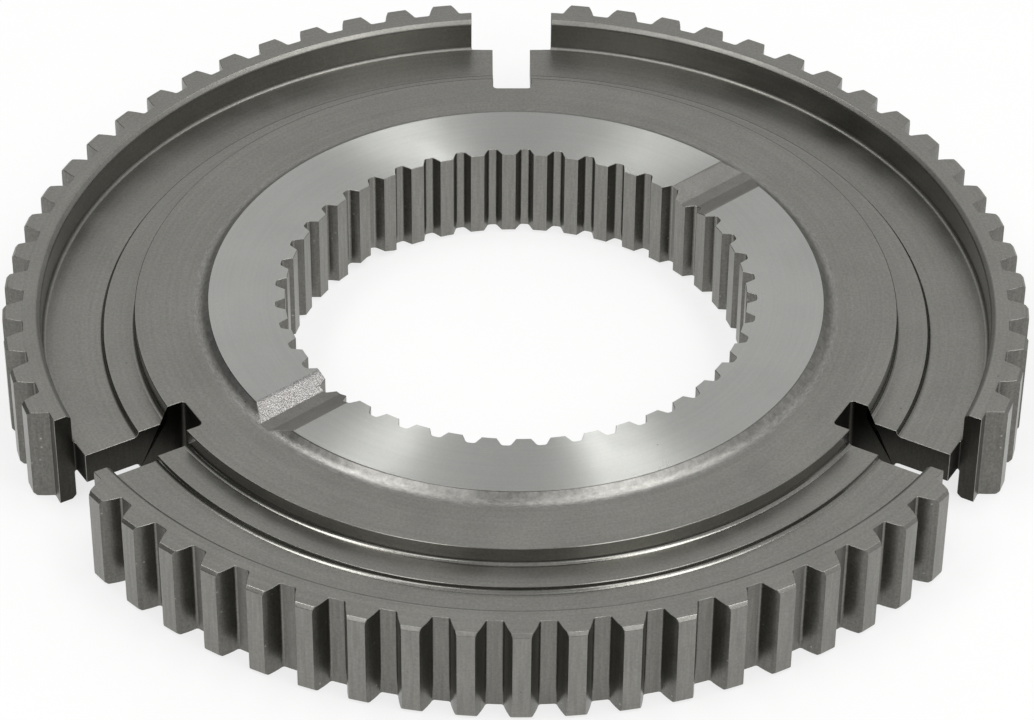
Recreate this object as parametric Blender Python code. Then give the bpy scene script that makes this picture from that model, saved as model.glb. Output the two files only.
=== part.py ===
# Synchronizer hub: a toothed rim and a splined bore joined by a stepped web,
# with three T-shaped key slots through the rim and the web.
# Metres, +Z up. The axis is Z, and the rim's lower face stands at Z = 0.
# Tooth and slot positions are counted from the front, the -Y side.

import math

import bmesh
import bpy
from mathutils import Matrix

# Toothed rim
tooth_count = 63
tip_diameter = 0.160
tooth_height = 0.0031
tooth_tip_share = 0.331
tooth_root_share = 0.674
tooth_end_chamfer = 0.0005
rim_height = 0.0164
rim_thickness = 0.0028
rim_mouth_width = 0.0008
rim_mouth_depth = 0.0005
rim_foot_fillet = 0.0009

# Web, the same on both sides: three lands that step up from the rim to the boss
outer_land_width = 0.0095
middle_land_width = 0.0050
plateau_width = 0.01145
boss_width = 0.0105
outer_land_thickness = 0.0053
middle_land_step = 0.0009
plateau_step = 0.0029
boss_step = 0.00125
middle_land_fillet_share = 0.88
plateau_fillet = 0.0009
boss_slope_width = 0.0016
boss_lip = 0.00015

# Splined bore inside the boss
spline_count = 44
spline_depth = 0.00155
spline_tip_share = 0.493
spline_gap_share = 0.2455
spline_turn = math.radians(1.2)

# Key slots: wide through the rim, narrow through the web
slot_count = 3
slot_turn = math.radians(60.0)
wide_slot_width = 0.0136
wide_slot_setback = 0.0006
narrow_slot_width = 0.0064
narrow_slot_reach = 0.0029
slot_corner_radius = 0.0007

# Oil notches across the boss, one on each side and square to each other.
# Their floors stay just above the plateau.
notch_width = 0.0091
notch_floor_width = 0.0021
notch_floor_height = 0.00008
upper_notch_turn = math.radians(130.0)
lower_notch_turn = math.radians(40.0)

# How round things are divided
facets_per_tooth = 2
fillet_facets = 2
corner_facets = 2
cut_clearance = 0.001
front = math.radians(270.0)

# Radii from the rim in to the bore, and heights from the middle plane
tip_radius = tip_diameter / 2.0
root_radius = tip_radius - tooth_height
rim_inner_radius = root_radius - rim_thickness
middle_land_radius = rim_inner_radius - outer_land_width
plateau_radius = middle_land_radius - middle_land_width
boss_radius = plateau_radius - plateau_width
spline_major_radius = boss_radius - boss_width
spline_minor_radius = spline_major_radius - spline_depth
middle_plane = rim_height / 2.0
outer_land_height = outer_land_thickness / 2.0
middle_land_height = outer_land_height + middle_land_step
plateau_height = middle_land_height + plateau_step
boss_height = plateau_height + boss_step
cut_height = max(middle_plane, boss_height) + cut_clearance


def polar(radius, angle):
    return (radius * math.cos(angle), radius * math.sin(angle))


def turned(points, angle):
    # The points turned about the axis.
    c = math.cos(angle)
    s = math.sin(angle)
    return [(x * c - y * s, x * s + y * c) for x, y in points]


def foot_fillet(corner, radius, side):
    # The arc in the corner between a wall and the land at its foot, from the wall
    # down to the land. The side is +1 where the land lies outside the wall.
    points = []
    for step in range(fillet_facets + 1):
        angle = math.pi / 2.0 * step / fillet_facets
        out = radius * (1.0 - math.cos(angle))
        up = radius * (1.0 - math.sin(angle))
        points.append((corner[0] + side * out, corner[1] + up))
    return points


def half_section():
    # The section of the upper half as (radius, height above the middle plane),
    # from the rim's tip in to a point inside the bore.
    # The tip is a little outside its radius, so that its flats touch it.
    facet = math.pi / (tooth_count * facets_per_tooth)
    tip = tip_radius / math.cos(facet)
    points = [
        (tip, middle_plane - tooth_end_chamfer),
        (tip - tooth_end_chamfer, middle_plane),
        (rim_inner_radius + rim_mouth_width, middle_plane),
        (rim_inner_radius, middle_plane - rim_mouth_depth),
    ]
    points += foot_fillet((rim_inner_radius, outer_land_height), rim_foot_fillet, -1.0)
    low_fillet = middle_land_step * middle_land_fillet_share
    points += reversed(foot_fillet((middle_land_radius, outer_land_height), low_fillet, 1.0))
    points += [(middle_land_radius, middle_land_height)]
    points += reversed(foot_fillet((plateau_radius, middle_land_height), plateau_fillet, 1.0))
    points += [(plateau_radius, plateau_height)]
    points += [(boss_radius + boss_slope_width, plateau_height)]
    points += [(boss_radius, boss_height - boss_lip), (boss_radius, boss_height)]
    points += [(spline_minor_radius - cut_clearance, boss_height)]
    return points


def new_object(name, mesh_form):
    bmesh.ops.remove_doubles(mesh_form, verts=mesh_form.verts, dist=1e-7)
    bmesh.ops.recalc_face_normals(mesh_form, faces=mesh_form.faces)
    mesh = bpy.data.meshes.new(name)
    mesh_form.to_mesh(mesh)
    mesh_form.free()
    made = bpy.data.objects.new(name, mesh)
    bpy.context.scene.collection.objects.link(made)
    return made


def turned_blank(name):
    upper = half_section()
    section = [(radius, middle_plane + height) for radius, height in upper]
    section += [(radius, middle_plane - height) for radius, height in reversed(upper)]
    form = bmesh.new()
    corners = [form.verts.new((radius, 0.0, height)) for radius, height in section]
    edges = [form.edges.new((a, b)) for a, b in zip(corners, corners[1:] + corners[:1])]
    steps = tooth_count * facets_per_tooth
    start = front + math.pi / steps
    bmesh.ops.rotate(
        form,
        verts=form.verts,
        cent=(0.0, 0.0, 0.0),
        matrix=Matrix.Rotation(start, 3, "Z"),
    )
    bmesh.ops.spin(
        form,
        geom=corners + edges,
        cent=(0.0, 0.0, 0.0),
        axis=(0.0, 0.0, 1.0),
        dvec=(0.0, 0.0, 0.0),
        angle=math.tau,
        steps=steps,
        use_merge=True,
        use_duplicate=False,
    )
    return new_object(name, form)


def add_prism(form, outline, half_height):
    # The outline extruded to the same height above and below the middle plane.
    low = middle_plane - half_height
    face = form.faces.new([form.verts.new((x, y, low)) for x, y in outline])
    lifted = bmesh.ops.extrude_face_region(form, geom=[face])
    raised = [item for item in lifted["geom"] if isinstance(item, bmesh.types.BMVert)]
    bmesh.ops.translate(form, verts=raised, vec=(0.0, 0.0, 2.0 * half_height))


def as_cutter(piece):
    piece.hide_render = True
    piece.display_type = "WIRE"
    return piece


def gear_outline():
    # The rim's teeth. The flanks run on past the tips, which the blank gives.
    # A tooth that a wide slot would cut into has no place on the rim.
    pitch = math.tau / tooth_count
    root_half = root_radius * math.sin(pitch * tooth_root_share / 2.0)
    foot = root_radius * math.cos(pitch * tooth_root_share / 2.0)
    tip_half = tip_radius * math.sin(pitch * tooth_tip_share / 2.0)
    beyond = tip_radius + cut_clearance
    slope = (root_half - tip_half) / (tip_radius - foot)
    beyond_half = max(tip_half - slope * cut_clearance, tip_half / 4.0)
    tooth = [(foot, -root_half), (beyond, -beyond_half), (beyond, beyond_half), (foot, root_half)]
    slot_half_angle = math.asin(wide_slot_width / 2.0 / root_radius)
    clear_angle = slot_half_angle + pitch * tooth_root_share / 2.0
    slots = [front + slot_turn + math.tau * k / slot_count for k in range(slot_count)]
    points = []
    for k in range(tooth_count):
        angle = front + pitch * k
        nearest = min(abs(math.remainder(angle - slot, math.tau)) for slot in slots)
        if nearest < clear_angle:
            points.append(polar(root_radius, angle))
        else:
            points += turned(tooth, angle)
    return points


def bore_outline():
    # The bore with its spline teeth pointing in, each with straight flanks.
    pitch = math.tau / spline_count
    tip_half = pitch * spline_tip_share / 2.0
    gap_half = pitch * spline_gap_share / 2.0
    points = []
    for k in range(spline_count):
        angle = front + spline_turn + pitch * k
        points.append(polar(spline_minor_radius, angle - tip_half))
        points.append(polar(spline_minor_radius, angle))
        points.append(polar(spline_minor_radius, angle + tip_half))
        points.append(polar(spline_major_radius, angle + pitch / 2.0 - gap_half))
        points.append(polar(spline_major_radius, angle + pitch / 2.0 + gap_half))
    return points


def slot_outline():
    # One key slot along +X: the narrow slot with rounded inner corners, then the wide one.
    narrow = narrow_slot_width / 2.0
    wide = wide_slot_width / 2.0
    corner = min(slot_corner_radius, narrow / 2.0)
    end = plateau_radius - narrow_slot_reach
    floor = rim_inner_radius - wide_slot_setback
    side = []
    for step in range(corner_facets + 1):
        angle = math.pi / 2.0 * step / corner_facets
        x = end + corner * (1.0 - math.cos(angle))
        y = narrow - corner * (1.0 - math.sin(angle))
        side.append((x, y))
    side.append((floor, narrow))
    side.append((floor, wide))
    side.append((tip_radius + cut_clearance, wide))
    return [(x, -y) for x, y in reversed(side)] + side


def add_notch(form, angle, side):
    # A shallow trough across the whole boss, on the upper side for +1 and the lower for -1.
    floor = plateau_height + notch_floor_height
    slope = (notch_width - notch_floor_width) / 2.0 / (boss_height - floor)
    top = boss_height + cut_clearance
    top_half = notch_width / 2.0 + slope * cut_clearance
    floor_half = notch_floor_width / 2.0
    reach = boss_radius + boss_slope_width + cut_clearance
    trough = [(-floor_half, floor), (floor_half, floor), (top_half, top), (-top_half, top)]
    ends = []
    for along in (-reach, reach):
        ring = []
        for across, height in trough:
            x, y = turned([(along, across)], angle)[0]
            ring.append(form.verts.new((x, y, middle_plane + side * height)))
        ends.append(ring)
    near, far = ends
    form.faces.new(near)
    form.faces.new(list(reversed(far)))
    for k in range(len(near)):
        following = (k + 1) % len(near)
        form.faces.new([near[k], far[k], far[following], near[following]])


def cut(target, tool, operation):
    change = target.modifiers.new(tool.name, "BOOLEAN")
    change.operation = operation
    change.solver = "EXACT"
    change.object = tool


def hub_steel():
    steel = bpy.data.materials.new("hub_steel")
    steel.use_nodes = True
    surface = steel.node_tree.nodes["Principled BSDF"]
    surface.inputs["Base Color"].default_value = (0.30, 0.30, 0.29, 1.0)
    surface.inputs["Metallic"].default_value = 1.0
    surface.inputs["Roughness"].default_value = 0.45
    return steel


for old in list(bpy.data.objects):
    bpy.data.objects.remove(old, do_unlink=True)

hub = turned_blank("synchronizer_hub")

gear = bmesh.new()
add_prism(gear, gear_outline(), cut_height)
gear_form = as_cutter(new_object("gear_form", gear))

bore = bmesh.new()
add_prism(bore, bore_outline(), cut_height + cut_clearance)
bore_form = as_cutter(new_object("bore_form", bore))

slots = bmesh.new()
for number in range(slot_count):
    slot_angle = front + slot_turn + math.tau * number / slot_count
    add_prism(slots, turned(slot_outline(), slot_angle), cut_height + cut_clearance)
slot_form = as_cutter(new_object("slot_form", slots))

notches = bmesh.new()
add_notch(notches, front + upper_notch_turn, 1.0)
add_notch(notches, front + lower_notch_turn, -1.0)
notch_form = as_cutter(new_object("notch_form", notches))

cut(hub, gear_form, "INTERSECT")
cut(hub, bore_form, "DIFFERENCE")
cut(hub, slot_form, "DIFFERENCE")
cut(hub, notch_form, "DIFFERENCE")


hub.data.materials.append(hub_steel())
hub.data.shade_smooth()
hub.data.set_sharp_from_angle(angle=math.radians(30.0))
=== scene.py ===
# Synchronizer hub on a plain pale floor, seen from the front and a little above.
# The hub is built in millimetres and brought to metres when its mesh is finished.

import math

import bmesh
import bpy
from mathutils import Matrix, Vector


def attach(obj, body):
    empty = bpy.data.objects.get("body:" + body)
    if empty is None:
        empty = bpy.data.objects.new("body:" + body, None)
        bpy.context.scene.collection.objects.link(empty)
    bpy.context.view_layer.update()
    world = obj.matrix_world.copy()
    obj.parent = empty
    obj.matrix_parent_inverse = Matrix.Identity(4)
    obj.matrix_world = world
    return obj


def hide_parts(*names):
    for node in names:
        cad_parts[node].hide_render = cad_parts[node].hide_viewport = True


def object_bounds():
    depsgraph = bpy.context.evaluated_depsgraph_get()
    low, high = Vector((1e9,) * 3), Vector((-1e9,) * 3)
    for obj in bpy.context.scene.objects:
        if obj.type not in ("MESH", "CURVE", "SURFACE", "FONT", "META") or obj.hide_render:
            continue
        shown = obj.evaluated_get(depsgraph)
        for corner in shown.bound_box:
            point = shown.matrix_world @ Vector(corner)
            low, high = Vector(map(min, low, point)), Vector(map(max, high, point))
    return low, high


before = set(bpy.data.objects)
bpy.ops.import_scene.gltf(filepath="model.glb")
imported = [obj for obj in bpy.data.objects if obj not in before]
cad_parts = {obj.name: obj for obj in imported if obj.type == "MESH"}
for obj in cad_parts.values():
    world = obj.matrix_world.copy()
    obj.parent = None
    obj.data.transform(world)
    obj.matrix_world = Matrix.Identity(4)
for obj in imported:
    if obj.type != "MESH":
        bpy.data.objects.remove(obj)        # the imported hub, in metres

cadBox = [list(corner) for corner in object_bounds()]
scene = bpy.context.scene
print("frame loaded, box", cadBox)


photoCamera = {
    "lens": 142.12,
    "distance": 0.65055,
    "elevation": 38.922,
    "turn": 0.991,
    "roll": -0.572,
    "aim": (0.000334, 0.002202),
    "shift": (-0.5 / 1034, 0.5 / 1034),
}


def addCamera(look):
    height = math.radians(look["elevation"])
    turn = Matrix.Rotation(-math.radians(look["turn"]), 3, "Z")
    sight = Vector((0.0, math.cos(height), -math.sin(height)))
    right = Vector((1.0, 0.0, 0.0))
    place = Vector((look["aim"][0], look["aim"][1], 0.0)) - sight * look["distance"]
    axes = Matrix((right, right.cross(sight), -sight)).transposed()
    axes = turn @ axes @ Matrix.Rotation(-math.radians(look["roll"]), 3, "Z")
    data = bpy.data.cameras.new("photoCamera")
    data.sensor_width = 36.0
    data.lens = look["lens"]
    data.shift_x, data.shift_y = look["shift"]
    data.clip_start, data.clip_end = 0.01, 10.0
    cam = bpy.data.objects.new("photoCamera", data)
    cam.matrix_world = Matrix.Translation(turn @ place) @ axes.to_4x4()
    scene.collection.objects.link(cam)
    scene.camera = cam


addCamera(photoCamera)


def addNode(tree, kind, settings=None, links=None):
    # One node: settings go to its properties or sockets, links come into its sockets.
    node = tree.nodes.new(kind)
    for key, value in (settings or {}).items():
        if isinstance(key, str) and hasattr(node, key):
            setattr(node, key, value)
        else:
            node.inputs[key].default_value = value
    for key, source in (links or {}).items():
        tree.links.new(source, node.inputs[key])
    return node


def hexColour(text):
    # sRGB hex to the linear colour that Blender works in.
    parts = [int(text[k:k + 2], 16) / 255.0 for k in (1, 3, 5)]
    return [c / 12.92 if c <= 0.04045 else ((c + 0.055) / 1.055) ** 2.4 for c in parts] + [1.0]


# Case-hardened gear steel. Every finish is the same metal: only the way that the
# surface was cut, ground or forged, and so its grain, its grooves and its tone, differ.
steelFinishes = {
    # Lands, rim and fillets: turned on a lathe, then heat treated. Grey and smooth
    # enough to show where the lamps are on a curve, with faint rings from the tool.
    "turnedSteel": {
        "tone": ("#83827d", "#8d8c87"),
        "cloud": 9.0,
        "grain": 0.42,
        "grainTone": 0.12,
        "rings": 0.5,
        "ringTone": 0.06,
        "ringBreaks": 1.0,
        "axial": 0.0,
        "specks": (5.0, 0.22, 0.45),
        "roughness": 0.37,
        "anisotropy": 0.0,
        "bump": 0.006,
    },
    # Inner wall of the rim: bored with a fine feed, smoother than the lands, so it mirrors them
    # and turns dark at the sides.
    "boredSteel": {
        "tone": ("#7e7d78", "#888782"),
        "cloud": 9.0,
        "grain": 0.42,
        "grainTone": 0.12,
        "rings": 0.5,
        "ringTone": 0.06,
        "ringBreaks": 1.0,
        "axial": 0.0,
        "specks": (5.0, 0.22, 0.45),
        "roughness": 0.21,
        "anisotropy": 0.0,
        "bump": 0.006,
    },
    # Boss faces: ground flat after heat treatment. Bright, with fine round grooves
    # that spread each lamp into a fan.
    "groundSteel": {
        "tone": ("#b2b3af", "#babbb7"),
        "cloud": 14.0,
        "grain": 0.35,
        "grainTone": 0.03,
        "rings": 0.5,
        "ringTone": 0.03,
        "ringBreaks": 1.0,
        "axial": 0.0,
        "specks": (7.0, 0.20, 0.35),
        "roughness": 0.31,
        "anisotropy": 1.0,
        "bump": 0.001,
    },
    # Mouth and foot of the rim: turned with a form tool, so duller than the faces beside
    # them, and a lamp shows there only as a soft light band.
    "chamferedSteel": {
        "tone": ("#7b7a75", "#878681"),
        "cloud": 6.0,
        "grain": 0.40,
        "grainTone": 0.12,
        "rings": 0.5,
        "ringTone": 0.06,
        "ringBreaks": 1.0,
        "axial": 0.0,
        "specks": (5.0, 0.22, 0.45),
        "roughness": 0.42,
        "anisotropy": 0.0,
        "bump": 0.008,
    },
    # Tips and roots of the teeth: a shade lighter than the turned faces, and drawn
    # along the tooth by the hob.
    "hobbedSteel": {
        "tone": ("#7d7c78", "#8b8a85"),
        "cloud": 5.0,
        "grain": 0.40,
        "grainTone": 0.10,
        "rings": 0.0,
        "ringTone": 0.0,
        "axial": 0.45,
        "specks": (4.0, 0.20, 0.6),
        "roughness": 0.33,
        "anisotropy": 0.0,
        "bump": 0.006,
    },
    # Flanks of the teeth: the hob leaves them smoother, and their tone is painted darker as painted shade
    # for the narrow gaps between the teeth, so they are the darkest faces of the hub.
    "flankSteelPaintedShade": {
        "tone": ("#686763", "#74736e"),
        "cloud": 4.0,
        "grain": 0.40,
        "grainTone": 0.18,
        "rings": 0.0,
        "ringTone": 0.0,
        "axial": 0.45,
        "specks": (1.6, 0.22, 2.2),
        "roughness": 0.32,
        "anisotropy": 0.0,
        "bump": 0.008,
    },
    # Roots between the teeth: hobbed too, and a little darker than the tips: painted shade between the teeth.
    "rootSteelPaintedShade": {
        "tone": ("#716f6b", "#7e7d78"),
        "cloud": 5.0,
        "grain": 0.40,
        "grainTone": 0.12,
        "rings": 0.0,
        "ringTone": 0.0,
        "axial": 0.45,
        "specks": (3.0, 0.20, 0.6),
        "roughness": 0.35,
        "anisotropy": 0.0,
        "bump": 0.006,
    },
    # Slope round the boss: turned with a coarse feed, so it shows rows of short dashes
    # and scatters the lamps that its smooth neighbours show sharply.
    "coarseTurnedSteel": {
        "tone": ("#83827e", "#908f8b"),
        "cloud": 9.0,
        "grain": 0.30,
        "grainTone": 0.10,
        "rings": 0.22,
        "ringTone": 0.20,
        "ringBreaks": 45.0,
        "axial": 0.0,
        "specks": (5.0, 0.22, 0.45),
        "roughness": 0.35,
        "anisotropy": 0.0,
        "bump": 0.022,
    },
    # Spline teeth: broached, so their grooves run along the bore.
    "broachedSteel": {
        "tone": ("#7c7b77", "#8b8a85"),
        "cloud": 5.0,
        "grain": 0.35,
        "grainTone": 0.10,
        "rings": 0.0,
        "ringTone": 0.0,
        "axial": 0.40,
        "specks": (4.0, 0.20, 0.6),
        "roughness": 0.32,
        "anisotropy": 0.0,
        "bump": 0.006,
    },
    # Key slots: milled through, and dull on their walls, whose very dark tone is painted shade in the slots.
    "milledSteelPaintedShade": {
        "tone": ("#33322e", "#403f3b"),
        "cloud": 6.0,
        "grain": 0.40,
        "grainTone": 0.16,
        "rings": 0.0,
        "ringTone": 0.0,
        "axial": 0.30,
        "specks": (3.0, 0.20, 1.6),
        "roughness": 0.38,
        "anisotropy": 0.0,
        "bump": 0.008,
    },
    # Oil notches: left as forged, so they glint in coarse grains.
    "forgedSteel": {
        "tone": ("#767470", "#878581"),
        "cloud": 2.2,
        "grain": 0.26,
        "grainTone": 0.12,
        "rings": 0.0,
        "ringTone": 0.0,
        "axial": 0.0,
        "specks": (4.0, 0.20, 0.6),
        "roughness": 0.34,
        "anisotropy": 0.0,
        "bump": 0.05,
    },
    # One slope of the front notch: a lighter tone and coarse bright grains, painted glints where the lamps catch
    # it.
    "notchSlopePaintedGlints": {
        "tone": ("#8d8b89", "#a2a09e"),
        "cloud": 1.4,
        "grain": 0.25,
        "grainTone": 0.45,
        "rings": 0.0,
        "ringTone": 0.0,
        "axial": 0.0,
        "specks": (1.2, 0.24, 0.6),
        "roughness": 0.36,
        "anisotropy": 0.0,
        "bump": 0.10,
    },
    # Broken edges: worn brighter and smoother than the faces beside them.
    "burnishedSteel": {
        "tone": ("#7f7e7a", "#94938f"),
        "cloud": 3.0,
        "grain": 0.5,
        "grainTone": 0.2,
        "rings": 0.0,
        "ringTone": 0.0,
        "axial": 0.0,
        "specks": (3.0, 0.20, 0.6),
        "roughness": 0.38,
        "anisotropy": 0.0,
        "bump": 0.006,
    },
}


def steelMaterial(name, look):
    # Patterns are drawn in millimetres from the axis: the hub's own place in metres,
    # times a thousand.
    steel = bpy.data.materials.new(name)
    steel.use_nodes = True
    tree = steel.node_tree
    tree.nodes.clear()
    place = addNode(tree, "ShaderNodeTexCoord").outputs["Object"]
    inMm = addNode(tree, "ShaderNodeVectorMath", {"operation": "SCALE", "Scale": 1000.0}, {0: place})
    inMm = inMm.outputs[0]

    flat = addNode(tree, "ShaderNodeVectorMath", {"operation": "MULTIPLY", 1: (1, 1, 0)}, {0: inMm})
    radius = addNode(tree, "ShaderNodeVectorMath", {"operation": "LENGTH"}, {0: flat.outputs[0]})
    outward = addNode(tree, "ShaderNodeVectorMath", {"operation": "NORMALIZE"}, {0: flat.outputs[0]})
    radius = radius.outputs["Value"]
    parts = addNode(tree, "ShaderNodeSeparateXYZ", links={0: inMm})

    # A slow change of tone over the surface.
    cloud = addNode(
        tree, "ShaderNodeTexNoise",
        {"Scale": 1.0 / look["cloud"], "Detail": 3.0, "Roughness": 0.55},
        {"Vector": inMm},
    )
    # Grain. The real one is about 0.05 mm, which is too fine to show from here.
    grain = addNode(
        tree, "ShaderNodeTexNoise",
        {"Scale": 1.0 / look["grain"], "Detail": 2.0, "Roughness": 0.7},
        {"Vector": inMm},
    )
    tone = addNode(
        tree, "ShaderNodeMix",
        {"data_type": "RGBA", 6: hexColour(look["tone"][0]), 7: hexColour(look["tone"][1])},
        {0: cloud.outputs["Fac"]},
    ).outputs[2]
    grainShade = addNode(
        tree, "ShaderNodeMapRange",
        {"From Min": 0.3, "From Max": 0.7, "To Min": 1.0 - look["grainTone"], "To Max": 1.0 + look["grainTone"]},
        {"Value": grain.outputs["Fac"]},
    ).outputs[0]
    height = grain.outputs["Fac"]

    if look["rings"]:
        # Rings from the lathe, 0.1 mm apart on the real one and drawn coarser. They
        # follow the radius on flat faces and the height on walls, and fade round the hub.
        along = addNode(
            tree, "ShaderNodeMath", {"operation": "ADD"}, {0: radius, 1: parts.outputs["Z"]}
        )
        along = addNode(
            tree, "ShaderNodeMath", {"operation": "DIVIDE", 1: look["rings"]}, {0: along.outputs[0]}
        )
        turned = addNode(
            tree, "ShaderNodeVectorMath", {"operation": "SCALE", "Scale": look["ringBreaks"]},
            {0: outward.outputs[0]},
        )
        round1 = addNode(tree, "ShaderNodeSeparateXYZ", links={0: turned.outputs[0]})
        where = addNode(
            tree, "ShaderNodeCombineXYZ",
            links={"X": along.outputs[0], "Y": round1.outputs["X"], "Z": round1.outputs["Y"]},
        )
        ring = addNode(
            tree, "ShaderNodeTexNoise",
            {"Scale": 1.0, "Detail": 2.0, "Roughness": 0.65},
            {"Vector": where.outputs[0]},
        )
        ringShade = addNode(
            tree, "ShaderNodeMapRange",
            {"From Min": 0.3, "From Max": 0.7, "To Min": 1.0 - look["ringTone"], "To Max": 1.0 + look["ringTone"]},
            {"Value": ring.outputs["Fac"]},
        ).outputs[0]
        grainShade = addNode(
            tree, "ShaderNodeMath", {"operation": "MULTIPLY"}, {0: grainShade, 1: ringShade}
        ).outputs[0]
        height = addNode(
            tree, "ShaderNodeMath", {"operation": "ADD"}, {0: height, 1: ring.outputs["Fac"]}
        ).outputs[0]

    if look["axial"]:
        # Marks drawn out along the axis by the hob or the broach.
        drawn = addNode(
            tree, "ShaderNodeVectorMath", {"operation": "MULTIPLY", 1: (1.0, 1.0, 0.06)}, {0: inMm}
        )
        streak = addNode(
            tree, "ShaderNodeTexNoise",
            {"Scale": 1.0 / look["axial"], "Detail": 2.0, "Roughness": 0.6},
            {"Vector": drawn.outputs[0]},
        )
        streakShade = addNode(
            tree, "ShaderNodeMapRange",
            {"From Min": 0.3, "From Max": 0.7, "To Min": 0.9, "To Max": 1.1},
            {"Value": streak.outputs["Fac"]},
        ).outputs[0]
        grainShade = addNode(
            tree, "ShaderNodeMath", {"operation": "MULTIPLY"}, {0: grainShade, 1: streakShade}
        ).outputs[0]
        height = addNode(
            tree, "ShaderNodeMath", {"operation": "ADD"}, {0: height, 1: streak.outputs["Fac"]}
        ).outputs[0]

    # Small pits and scratched spots: one in every few cells of this size, in mm.
    apart, across, spotTone = look["specks"]
    cells = addNode(tree, "ShaderNodeTexVoronoi", {"Scale": 1.0 / apart}, {"Vector": inMm})
    spot = addNode(
        tree, "ShaderNodeMapRange",
        {"From Min": 0.3 * across / apart, "From Max": across / apart, "To Min": spotTone, "To Max": 1.0},
        {"Value": cells.outputs["Distance"]},
    ).outputs[0]
    chance = addNode(tree, "ShaderNodeSeparateColor", links={0: cells.outputs["Color"]}).outputs[0]
    chosen = addNode(tree, "ShaderNodeMath", {"operation": "GREATER_THAN", 1: 0.55}, {0: chance})
    spotShade = addNode(
        tree, "ShaderNodeMix", {"data_type": "FLOAT", 2: 1.0}, {0: chosen.outputs[0], 3: spot}
    ).outputs[0]
    shade = addNode(
        tree, "ShaderNodeMath", {"operation": "MULTIPLY"}, {0: grainShade, 1: spotShade}
    ).outputs[0]
    colour = addNode(
        tree, "ShaderNodeVectorMath", {"operation": "SCALE"}, {0: tone, "Scale": shade}
    ).outputs[0]
    rough = addNode(
        tree, "ShaderNodeMapRange",
        {
            "From Min": 0.3, "From Max": 0.7,
            "To Min": look["roughness"] - 0.05, "To Max": look["roughness"] + 0.05,
        },
        {"Value": cloud.outputs["Fac"]},
    ).outputs[0]
    relief = addNode(
        tree, "ShaderNodeBump",
        {"Strength": 0.6, "Distance": look["bump"] / 1000.0},
        {"Height": height},
    )
    surface = addNode(
        tree, "ShaderNodeBsdfPrincipled",
        {"Metallic": 1.0, "Anisotropic": look["anisotropy"]},
        {"Base Color": colour, "Roughness": rough, "Normal": relief.outputs[0]},
    )
    if look["anisotropy"]:
        # The grooves run round the axis, so they spread light outwards from it.
        tree.links.new(outward.outputs[0], surface.inputs["Tangent"])
    addNode(tree, "ShaderNodeOutputMaterial", links={"Surface": surface.outputs[0]})
    return steel


steels = {name: steelMaterial(name, look) for name, look in steelFinishes.items()}
print("steel finishes made")


hub = {
    "toothCount": 63,
    "tipRadius": 80.0,
    "toothHeight": 3.1,
    "toothTipShare": 0.331,
    "toothRootShare": 0.674,
    "toothRootFillet": 0.45,
    "toothBulge": 0.11,         # how far the middle of a flank stands out
    "toothEndChamfer": 0.5,
    "toothEndRound": 0.22,      # the chamfer's two edges are worn soft
    "rimHeight": 16.4,
    "rimInnerRadius": 74.1,
    "rimMouth": (0.72, 0.58),
    "rimMouthRound": 0.5,
    "rimFootFillet": 0.6,
    "outerLand": 2.65,          # heights of the lands above the middle plane
    "middleLand": 3.55,
    "plateau": 6.45,
    "boss": 7.7,
    "middleLandRadius": 64.6,
    "plateauRadius": 59.6,
    "bossRadius": 48.15,
    "smallStepFillet": 0.79,
    "plateauFillet": 0.75,
    "bossSkirt": 1.45,          # the slope round the boss, and the lip above it
    "bossLip": 0.15,
    "bossFillet": 2.9,
    "splineCount": 44,
    "splineTipRadius": 36.1,
    "splineRootRadius": 37.65,
    "splineTipShare": 0.43,
    "splineGapShare": 0.2455,
    "splineRootFillet": 0.55,
    "splineTurn": 1.2,
    "slotCount": 3,
    "slotTurn": 60.0,
    "wideSlot": 13.6,
    "wideSlotFloor": 73.5,
    "narrowSlot": 6.4,
    "narrowSlotEnd": 56.7,
    "slotCorner": 0.7,
    "notchWidth": 9.1,
    "notchFloor": 2.1,
    "notchDepth": 1.17,
    "upperNotchTurn": 130.0,
    "lowerNotchTurn": 40.0,
    "edgeRound": 0.07,          # small rounds on turned edges
    "edgeBreak": 0.07,          # small chamfers on cut edges
    "segments": 252,
}
front = math.radians(270.0)     # angles are counted from the front of the hub


def roundedLine(corners, closed=False):
    # Corners are (x, y, radius, steps): each is replaced by an arc of that radius.
    points = []
    count = len(corners)
    for k, (x, y, radius, steps) in enumerate(corners):
        here = Vector((x, y))
        if radius == 0.0 or (not closed and k in (0, count - 1)):
            points.append((x, y))
            continue
        before = (Vector(corners[k - 1][:2]) - here).normalized()
        after = (Vector(corners[(k + 1) % count][:2]) - here).normalized()
        half = before.angle(after) / 2.0
        middle = here + (before + after).normalized() * radius / math.sin(half)
        start = here + before * radius / math.tan(half) - middle
        end = here + after * radius / math.tan(half) - middle
        sweep = math.atan2(start.x * end.y - start.y * end.x, start.dot(end))
        for step in range(steps + 1):
            turn = Matrix.Rotation(sweep * step / steps, 2)
            points.append(tuple(middle + turn @ start))
    return points


def meshObject(name, form):
    mesh = bpy.data.meshes.new(name)
    form.to_mesh(mesh)
    form.free()
    made = bpy.data.objects.new(name, mesh)
    scene.collection.objects.link(made)
    return made


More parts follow.
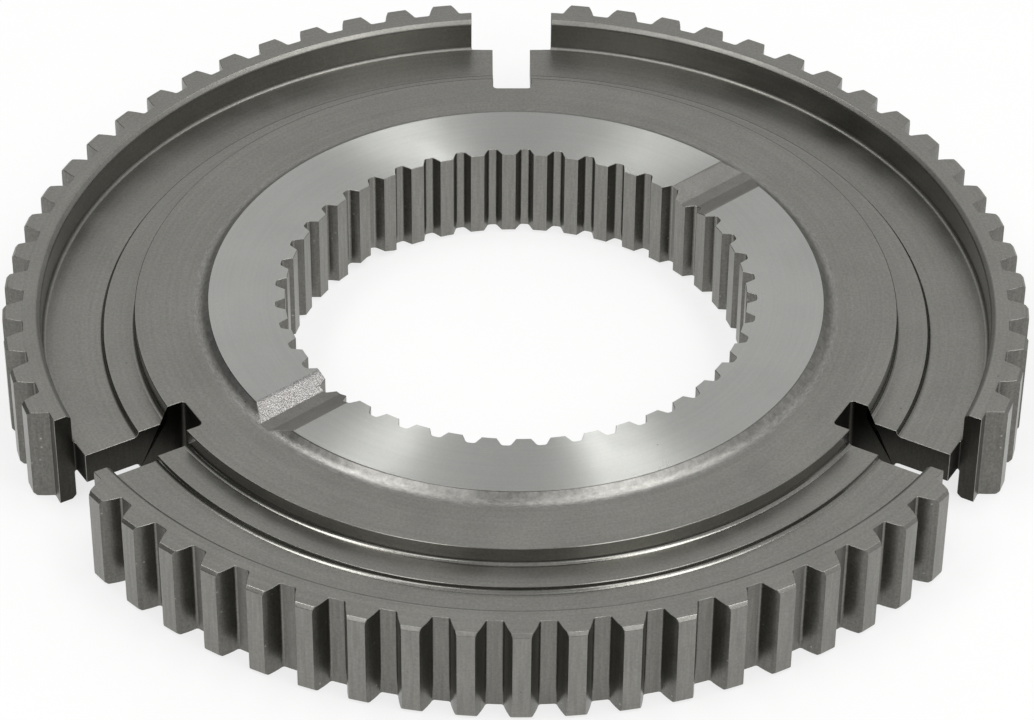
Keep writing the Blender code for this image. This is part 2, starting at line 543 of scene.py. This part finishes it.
def turnedBlank(size):
    # The blank as it comes off the lathe: its section spun round the axis.
    mid = size["rimHeight"] / 2.0
    tip = size["tipRadius"]
    inner = size["rimInnerRadius"]
    across, down = size["rimMouth"]
    edge = size["edgeRound"]
    upper = roundedLine([
        (tip, 0.0, 0.0, 1),
        (tip, mid - size["toothEndChamfer"], size["toothEndRound"], 3),
        (tip - size["toothEndChamfer"], mid, size["toothEndRound"], 3),
        (inner + across, mid, size["rimMouthRound"], 4),
        (inner, mid - down, size["rimMouthRound"], 4),
        (inner, size["outerLand"], size["rimFootFillet"], 6),
        (size["middleLandRadius"], size["outerLand"], size["smallStepFillet"], 4),
        (size["middleLandRadius"], size["middleLand"], edge, 3),
        (size["plateauRadius"], size["middleLand"], size["plateauFillet"], 7),
        (size["plateauRadius"], size["plateau"], edge, 3),
        (size["bossRadius"] + size["bossSkirt"], size["plateau"], size["bossFillet"], 7),
        (size["bossRadius"], size["boss"] - size["bossLip"], 0.0, 1),
        (size["bossRadius"], size["boss"], 0.0, 1),
        (size["splineTipRadius"] - 3.0, size["boss"], 0.0, 1),
    ])[1:]
    section = [(r, mid + h) for r, h in upper] + [(r, mid - h) for r, h in reversed(upper)]
    form = bmesh.new()
    corners = [form.verts.new((r, 0.0, h)) for r, h in section]
    edges = [form.edges.new(pair) for pair in zip(corners, corners[1:] + corners[:1])]
    start = Matrix.Rotation(front + math.pi / size["segments"], 3, "Z")
    bmesh.ops.rotate(form, verts=form.verts, cent=(0, 0, 0), matrix=start)
    bmesh.ops.spin(
        form, geom=corners + edges, cent=(0, 0, 0), axis=(0, 0, 1), dvec=(0, 0, 0),
        angle=math.tau, steps=size["segments"], use_merge=True, use_duplicate=False,
    )
    bmesh.ops.remove_doubles(form, verts=form.verts, dist=1e-4)
    bmesh.ops.recalc_face_normals(form, faces=form.faces)
    return meshObject("hubBlank", form)


def cutterTree():
    # Turns one outline into a ring of cutters: copies it round the axis, joins the
    # copies end to end, fills them and raises them to a prism.
    tree = bpy.data.node_groups.new("cutterRoundAxis", "GeometryNodeTree")
    face = tree.interface
    face.new_socket("Outline", in_out="INPUT", socket_type="NodeSocketGeometry")
    face.new_socket("Count", in_out="INPUT", socket_type="NodeSocketInt")
    face.new_socket("First Angle", in_out="INPUT", socket_type="NodeSocketFloat")
    face.new_socket("Height", in_out="INPUT", socket_type="NodeSocketFloat")
    face.new_socket("Finish", in_out="INPUT", socket_type="NodeSocketMaterial")
    face.new_socket("Cutter", in_out="OUTPUT", socket_type="NodeSocketGeometry")
    given = addNode(tree, "NodeGroupInput").outputs
    index = addNode(tree, "GeometryNodeInputIndex").outputs[0]
    step = addNode(tree, "ShaderNodeMath", {"operation": "DIVIDE", 0: math.tau}, {1: given["Count"]})
    turn = addNode(
        tree, "ShaderNodeMath", {"operation": "MULTIPLY_ADD"},
        {0: index, 1: step.outputs[0], 2: given["First Angle"]},
    )
    angles = addNode(tree, "ShaderNodeCombineXYZ", links={"Z": turn.outputs[0]})
    rotation = addNode(tree, "FunctionNodeEulerToRotation", links={0: angles.outputs[0]})
    axis = addNode(tree, "GeometryNodePoints", links={"Count": given["Count"]})
    copies = addNode(
        tree, "GeometryNodeInstanceOnPoints",
        links={"Points": axis.outputs[0], "Instance": given["Outline"], "Rotation": rotation.outputs[0]},
    )
    real = addNode(tree, "GeometryNodeRealizeInstances", links={0: copies.outputs[0]})
    joined = addNode(
        tree, "GeometryNodeMergeByDistance", {"Distance": 0.002}, {"Geometry": real.outputs[0]}
    )
    loop = addNode(tree, "GeometryNodeMeshToCurve", links={0: joined.outputs[0]})
    floor = addNode(tree, "GeometryNodeFillCurve", {"mode": "NGONS"}, {"Curve": loop.outputs[0]})
    raised = addNode(
        tree, "GeometryNodeExtrudeMesh", {"Individual": False},
        {"Mesh": floor.outputs[0], "Offset Scale": given["Height"]},
    )
    under = addNode(tree, "GeometryNodeFlipFaces", links={"Mesh": floor.outputs[0]})
    both = addNode(tree, "GeometryNodeJoinGeometry")
    tree.links.new(raised.outputs["Mesh"], both.inputs[0])
    tree.links.new(under.outputs["Mesh"], both.inputs[0])
    closed = addNode(
        tree, "GeometryNodeMergeByDistance", {"Distance": 0.002}, {"Geometry": both.outputs[0]}
    )
    finish = addNode(
        tree, "GeometryNodeSetMaterial",
        links={"Geometry": closed.outputs[0], "Material": given["Finish"]},
    )
    addNode(tree, "NodeGroupOutput", links={0: finish.outputs[0]})
    return tree


def ringCutter(name, tree, outline, closed, low, values):
    form = bmesh.new()
    corners = [form.verts.new((x, y, low)) for x, y in outline]
    pairs = list(zip(corners, corners[1:]))
    if closed:
        pairs.append((corners[-1], corners[0]))
    for pair in pairs:
        form.edges.new(pair)
    made = meshObject(name, form)
    change = made.modifiers.new("cutterRoundAxis", "NODES")
    change.node_group = tree
    for socket in tree.interface.items_tree:
        if socket.in_out == "INPUT" and socket.name in values:
            change[socket.identifier] = values[socket.name]
    shape = bpy.context.evaluated_depsgraph_get()
    plain = bpy.data.meshes.new_from_object(made.evaluated_get(shape))
    made.modifiers.clear()
    made.data = plain
    form = bmesh.new()
    form.from_mesh(plain)
    bmesh.ops.recalc_face_normals(form, faces=form.faces)
    form.to_mesh(plain)
    form.free()
    return made


def toothPitch(size):
    # Half a gap, one tooth and half a gap, as points round the axis.
    pitch = math.tau / size["toothCount"]
    root, tip = size["tipRadius"] - size["toothHeight"], size["tipRadius"]
    rootHalf = pitch * size["toothRootShare"] / 2.0
    tipHalf = pitch * size["toothTipShare"] / 2.0
    foot = Vector((root * math.cos(rootHalf), root * math.sin(rootHalf)))
    top = Vector((tip * math.cos(tipHalf), tip * math.sin(tipHalf)))
    flank = top - foot
    aside = Vector((-flank.y, flank.x)).normalized()
    bulged = []
    for part in (0.25, 0.5, 0.75, 1.0):
        out = size["toothBulge"] * 4.0 * part * (1.0 - part)
        bulged.append(foot + flank * part + aside * out)
    beyond = top + (bulged[-1] - bulged[-2]).normalized() * 1.0
    gap = (root * math.cos(pitch / 2.0), root * math.sin(pitch / 2.0))
    side = [
        (gap[0], gap[1], 0.0, 1),
        (foot.x, foot.y, size["toothRootFillet"], 4),
    ]
    side += [(point.x, point.y, 0.0, 1) for point in bulged + [beyond]]
    line = [(x, -y, r, s) for x, y, r, s in side] + [(x, y, r, s) for x, y, r, s in reversed(side)]
    return roundedLine(line)


def splinePitch(size):
    # Half a groove, one spline tooth and half a groove.
    pitch = math.tau / size["splineCount"]
    tipHalf = pitch * size["splineTipShare"] / 2.0
    rootHalf = pitch / 2.0 - pitch * size["splineGapShare"] / 2.0
    tip, root = size["splineTipRadius"], size["splineRootRadius"]
    crown = tip * math.cos(tipHalf)
    side = [
        (root * math.cos(pitch / 2.0), root * math.sin(pitch / 2.0), 0.0, 1),
        (root * math.cos(rootHalf), root * math.sin(rootHalf), size["splineRootFillet"], 4),
        (crown, tip * math.sin(tipHalf), 0.0, 1),
    ]
    line = [(x, -y, r, s) for x, y, r, s in side] + [(x, y, r, s) for x, y, r, s in reversed(side)]
    line.insert(3, (tip, 0.0, 0.0, 1))
    return roundedLine(line)


def keySlot(size):
    narrow, wide = size["narrowSlot"] / 2.0, size["wideSlot"] / 2.0
    side = [
        (size["narrowSlotEnd"], narrow, size["slotCorner"], 5),
        (size["wideSlotFloor"], narrow, 0.0, 1),
        (size["wideSlotFloor"], wide, 0.25, 2),
        (size["tipRadius"] + 2.0, wide, 0.0, 1),
    ]
    line = [(x, -y, r, s) for x, y, r, s in reversed(side)] + side
    return roundedLine(line, closed=True)


def notchCutter(size):
    # A shallow trough across the boss on each side, square to each other.
    form = bmesh.new()
    mid = size["rimHeight"] / 2.0
    floorHalf, half = size["notchFloor"] / 2.0, size["notchWidth"] / 2.0
    reach = size["bossRadius"] + size["bossSkirt"] + 1.0
    over = 1.0
    flare = (half - floorHalf) / size["notchDepth"] * over
    for turn, side in ((size["upperNotchTurn"], 1.0), (size["lowerNotchTurn"], -1.0)):
        low = size["boss"] - size["notchDepth"]
        trough = roundedLine([
            (-half - flare, size["boss"] + over, 0.0, 1),
            (-floorHalf, low, 0.6, 3),
            (floorHalf, low, 0.6, 3),
            (half + flare, size["boss"] + over, 0.0, 1),
        ])
        spin = Matrix.Rotation(front + math.radians(turn), 3, "Z")
        rings = []
        for along in (-reach, reach):
            rings.append([form.verts.new(spin @ Vector((along, x, mid + side * h))) for x, h in trough])
        near, far = rings
        form.faces.new(near)
        form.faces.new(list(reversed(far)))
        for k in range(len(near)):
            nextOne = (k + 1) % len(near)
            form.faces.new([near[k], far[k], far[nextOne], near[nextOne]])
    bmesh.ops.recalc_face_normals(form, faces=form.faces)
    made = meshObject("notchCutter", form)
    made.data.materials.append(steels["forgedSteel"])
    return made


def cutHub(blank, cuts):
    for cutter, operation in cuts:
        change = blank.modifiers.new(cutter.name, "BOOLEAN")
        change.operation = operation
        change.solver = "EXACT"
        change.object = cutter
        change.material_mode = "TRANSFER"
    shape = bpy.context.evaluated_depsgraph_get()
    plain = bpy.data.meshes.new_from_object(blank.evaluated_get(shape))
    blank.modifiers.clear()
    blank.data = plain
    for cutter, _ in cuts:
        bpy.data.objects.remove(cutter, do_unlink=True)


def finishHub(piece, size):
    # Grinds the boss faces, breaks the cut edges and shades the rest smooth.
    mesh = piece.data
    names = list(steels)
    slots = [m.name if m else "turnedSteel" for m in mesh.materials]
    form = bmesh.new()
    form.from_mesh(mesh)
    for face in form.faces:
        face.material_index = names.index(slots[face.material_index])
    mid = size["rimHeight"] / 2.0
    for face in form.faces:
        centre = face.calc_center_median()
        outward = Vector((centre.x, centre.y, 0.0)).normalized()
        upright = abs(face.normal.z) < 0.1
        if abs(abs(centre.z - mid) - size["boss"]) < 0.01 and abs(face.normal.z) > 0.999:
            face.material_index = names.index("groundSteel")
        elif (
            face.material_index == names.index("turnedSteel")
            and abs(centre.z - mid) > size["plateau"] + 0.005
            and centre.xy.length < size["plateauRadius"] - 1.0
        ):
            face.material_index = names.index("coarseTurnedSteel")
        elif (
            face.material_index == names.index("turnedSteel")
            and upright
            and abs(centre.xy.length - size["rimInnerRadius"]) < 0.2
        ):
            face.material_index = names.index("boredSteel")
        elif (
            face.material_index == names.index("turnedSteel")
            and abs(face.normal.z) < 0.995
            and min(abs(centre.xy.length - size[k]) for k in ("middleLandRadius", "plateauRadius")) < 1.0
        ):
            face.material_index = names.index("boredSteel")
        elif (
            face.material_index == names.index("turnedSteel")
            and -size["rimFootFillet"] < centre.xy.length - size["rimInnerRadius"] < size["rimMouth"][0] + 0.2
            and 0.06 < abs(face.normal.z) < 0.995
        ):
            face.material_index = names.index("chamferedSteel")
        elif face.material_index == names.index("forgedSteel"):
            across = Matrix.Rotation(front + math.radians(size["upperNotchTurn"] + 90.0), 3, "Z")
            facing = face.normal.dot(across @ Vector((1, 0, 0)))
            # One slope, picked by the way it faces, takes a lighter grainy tone: painted glints from the lamps.
            if facing < -0.2 and centre.z > mid and centre.x < 0.0:
                face.material_index = names.index("notchSlopePaintedGlints")
        elif upright and centre.xy.length > size["tipRadius"] - 0.1:
            face.material_index = names.index("hobbedSteel")
        # Roots take a darker tone than the tips: painted shade between the teeth.
        elif face.material_index == names.index("hobbedSteel") and face.normal.dot(outward) > 0.8:
            face.material_index = names.index("rootSteelPaintedShade")
        # Flanks of the teeth and the spline take the darker tone: painted shade for the gaps between the teeth.
        elif face.material_index in (names.index("hobbedSteel"), names.index("broachedSteel")):
            if abs(face.normal.dot(outward)) < 0.8:
                face.material_index = names.index("flankSteelPaintedShade")
    bmesh.ops.remove_doubles(form, verts=form.verts, dist=0.002)
    bmesh.ops.dissolve_degenerate(form, edges=form.edges, dist=0.002)
    bmesh.ops.dissolve_limit(
        form, angle_limit=math.radians(0.05), verts=form.verts, edges=form.edges,
        use_dissolve_boundaries=False, delimit={"MATERIAL"},
    )
    toothed = [names.index(k) for k in ("hobbedSteel", "rootSteelPaintedShade", "broachedSteel", "flankSteelPaintedShade")]
    sharp = []
    for edge in form.edges:
        if not edge.is_convex or edge.calc_face_angle(0.0) < math.radians(24.0):
            continue
        if all(face.material_index in toothed for face in edge.link_faces):
            continue        # the long edges of the teeth stay crisp
        sharp.append(edge)
    print("edges to break", len(sharp), "faces", len(form.faces))
    bmesh.ops.bevel(
        form, geom=sharp, offset=size["edgeBreak"], offset_type="OFFSET", segments=1,
        profile=0.5, affect="EDGES", clamp_overlap=False, loop_slide=True,
        material=names.index("burnishedSteel"),
    )
    bmesh.ops.scale(form, vec=(0.001, 0.001, 0.001), verts=form.verts)
    mesh.materials.clear()
    for name in names:
        mesh.materials.append(steels[name])
    form.to_mesh(mesh)
    form.free()
    mesh.shade_smooth()
    mesh.set_sharp_from_angle(angle=math.radians(30.0))


def flatNormals(piece):
    # Big faces keep their own direction, and only the small rounds beside them look round.
    change = piece.modifiers.new("weightedNormals", "WEIGHTED_NORMAL")
    change.keep_sharp = True
    shape = bpy.context.evaluated_depsgraph_get()
    plain = bpy.data.meshes.new_from_object(piece.evaluated_get(shape))
    piece.modifiers.clear()
    piece.data = plain


def makeHub(size):
    blank = turnedBlank(size)
    blank.data.materials.append(steels["turnedSteel"])
    print("blank turned", len(blank.data.polygons))
    tree = cutterTree()
    low = -1.0
    tall = size["rimHeight"] + 2.0
    teeth = ringCutter("toothForm", tree, toothPitch(size), False, low, {
        "Count": size["toothCount"], "First Angle": front, "Height": tall,
        "Finish": steels["hobbedSteel"],
    })
    bore = ringCutter("splineForm", tree, splinePitch(size), False, low, {
        "Count": size["splineCount"], "First Angle": front + math.radians(size["splineTurn"]),
        "Height": tall, "Finish": steels["broachedSteel"],
    })
    # The slot walls take a very dark tone: painted shade in the deep slots.
    slots = ringCutter("slotForm", tree, keySlot(size), True, low - 0.5, {
        "Count": size["slotCount"], "First Angle": front + math.radians(size["slotTurn"]),
        "Height": tall + 1.0, "Finish": steels["milledSteelPaintedShade"],
    })
    for piece in (teeth, bore, slots):
        print(piece.name, len(piece.data.polygons), "faces")
    cuts = [(teeth, "INTERSECT"), (bore, "DIFFERENCE"), (slots, "DIFFERENCE")]
    cuts.append((notchCutter(size), "DIFFERENCE"))
    cutHub(blank, cuts)
    blank.name = "synchroHub"
    finishHub(blank, size)
    flatNormals(blank)
    return blank


synchroHub = makeHub(hub)
print("hub cut", len(synchroHub.data.polygons), "faces")
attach(synchroHub, "root")
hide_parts("synchronizer_hub")


studio = {
    "floorTone": "#e8e8e6",
    "floorSize": 6.0,
    "floorGlow": 0.75,
    "skyLow": 0.45,
    # Light of the tent from left (-1) to right (1), over the front half and the back half.
    "skyFront": ((-0.80, 0.08), (-0.70, 0.26), (-0.58, 0.56), (-0.40, 0.56), (0.30, 0.56), (0.65, 0.70)),
    "skyBack": ((-0.85, 0.12), (-0.72, 0.25), (-0.58, 0.48), (-0.42, 0.82), (-0.22, 0.92), (-0.13, 0.75),
                (0.13, 0.75), (0.22, 0.92), (0.40, 0.82), (0.52, 0.52), (0.70, 0.48), (0.85, 0.60)),
    "lamps": {
        "leftStrip": {
            "middle": (-0.46, -0.06, 1.0), "along": (0.32, 1.0, 0.0), "size": (0.22, 0.90), "power": 3.6,
        },
        "rightStrip": {
            "middle": (0.37, -0.06, 1.0), "along": (-0.32, 1.0, 0.0), "size": (0.22, 0.90), "power": 4.0,
        },
        "frontLeftPanel": {
            "middle": (-0.50, -0.88, 0.95), "along": (0.0, 1.0, 0.0), "size": (0.35, 0.50), "power": 1.4,
        },
        "frontRightPanel": {
            "middle": (0.54, -0.88, 0.95), "along": (0.0, 1.0, 0.0), "size": (0.42, 0.50), "power": 1.8,
        },
    },
}


def makeFloor(look):
    form = bmesh.new()
    bmesh.ops.create_grid(form, x_segments=1, y_segments=1, size=look["floorSize"] / 2.0)
    bmesh.ops.translate(form, verts=form.verts, vec=(0.0, 0.0, cadBox[0][2] - 0.00005))
    floor = meshObject("paleFloor", form)
    paper = bpy.data.materials.new("matteBoard")      # painted board: no gloss at all
    paper.use_nodes = True
    tree = paper.node_tree
    tree.nodes.clear()
    place = addNode(tree, "ShaderNodeTexCoord").outputs["Object"]
    fleck = addNode(tree, "ShaderNodeTexNoise", {"Scale": 60.0, "Detail": 3.0}, {"Vector": place})
    tone = addNode(
        tree, "ShaderNodeMix",
        {"data_type": "RGBA", 6: hexColour(look["floorTone"]), 7: hexColour("#eeeeec")},
        {0: fleck.outputs["Fac"]},
    )
    board = addNode(tree, "ShaderNodeBsdfDiffuse", links={"Color": tone.outputs[2]})
    # The eye, a mirror and glass see it mostly as plain white, with the shadow left in.
    white = addNode(tree, "ShaderNodeEmission", {"Color": (1, 1, 1, 1), "Strength": 1.0})
    ray = addNode(tree, "ShaderNodeLightPath").outputs
    seen = addNode(
        tree, "ShaderNodeMath", {"operation": "ADD"}, {0: ray["Is Camera Ray"], 1: ray["Is Glossy Ray"]}
    )
    seen = addNode(
        tree, "ShaderNodeMath", {"operation": "ADD"}, {0: seen.outputs[0], 1: ray["Is Transmission Ray"]}
    )
    share = addNode(
        tree, "ShaderNodeMath", {"operation": "MULTIPLY", 1: look["floorGlow"]}, {0: seen.outputs[0]}
    )
    both = addNode(
        tree, "ShaderNodeMixShader", links={0: share.outputs[0], 1: board.outputs[0], 2: white.outputs[0]}
    )
    addNode(tree, "ShaderNodeOutputMaterial", links={"Surface": both.outputs[0]})
    floor.data.materials.append(paper)


def makeLamps(look):
    for name, lamp in look["lamps"].items():
        data = bpy.data.lights.new(name, "AREA")
        data.shape = "RECTANGLE"
        data.size, data.size_y = lamp["size"]
        data.energy = lamp["power"]
        made = bpy.data.objects.new(name, data)
        towards = Vector(lamp["middle"]).normalized()
        made.location = lamp["middle"]
        across = Vector(lamp["along"]).cross(towards).normalized()
        axes = Matrix((across, towards.cross(across), towards)).transposed()
        made.rotation_euler = axes.to_euler()
        scene.collection.objects.link(made)


def makeSky(look):
    # A pale tent with a narrow panel at the back, lighter on the right than on the left,
    # and darker down to the horizon.
    world = bpy.data.worlds.new("studioSky")
    world.use_nodes = True
    tree = world.node_tree
    tree.nodes.clear()
    towards = addNode(tree, "ShaderNodeTexCoord").outputs["Generated"]
    parts = addNode(tree, "ShaderNodeSeparateXYZ", links={0: towards}).outputs
    height = addNode(
        tree, "ShaderNodeMapRange",
        {"From Min": 0.0, "From Max": 0.4, "To Min": look["skyLow"], "To Max": 1.0},
        {"Value": parts["Z"]},
    )
    across = addNode(
        tree, "ShaderNodeMapRange",
        {"From Min": -1.0, "From Max": 1.0, "To Min": 0.0, "To Max": 1.0},
        {"Value": parts["X"]},
    )
    halves = []
    for stops in (look["skyFront"], look["skyBack"]):
        ramp = addNode(tree, "ShaderNodeValToRGB", links={0: across.outputs[0]})
        points = ramp.color_ramp.elements
        for place, _ in stops[1:-1]:
            points.new((place + 1.0) / 2.0)
        for point, (place, light) in zip(points, stops):
            point.position = (place + 1.0) / 2.0
            point.color = (light, light, light, 1.0)
        halves.append(ramp.outputs[0])
    backward = addNode(
        tree, "ShaderNodeMapRange",
        {"From Min": 0.35, "From Max": 0.65, "To Min": 0.0, "To Max": 1.0},
        {"Value": parts["Y"]},
    )
    sides = addNode(
        tree, "ShaderNodeMix", {"data_type": "RGBA"},
        {0: backward.outputs[0], 6: halves[0], 7: halves[1]},
    )
    strength = addNode(
        tree, "ShaderNodeMath", {"operation": "MULTIPLY"}, {0: height.outputs[0], 1: sides.outputs[2]}
    )
    sky = addNode(tree, "ShaderNodeBackground", {"Color": (1, 1, 1, 1)}, {"Strength": strength.outputs[0]})
    addNode(tree, "ShaderNodeOutputWorld", links={"Surface": sky.outputs[0]})
    scene.world = world


makeFloor(studio)
makeLamps(studio)
makeSky(studio)
scene.view_settings.view_transform = "Standard"
print("studio ready")
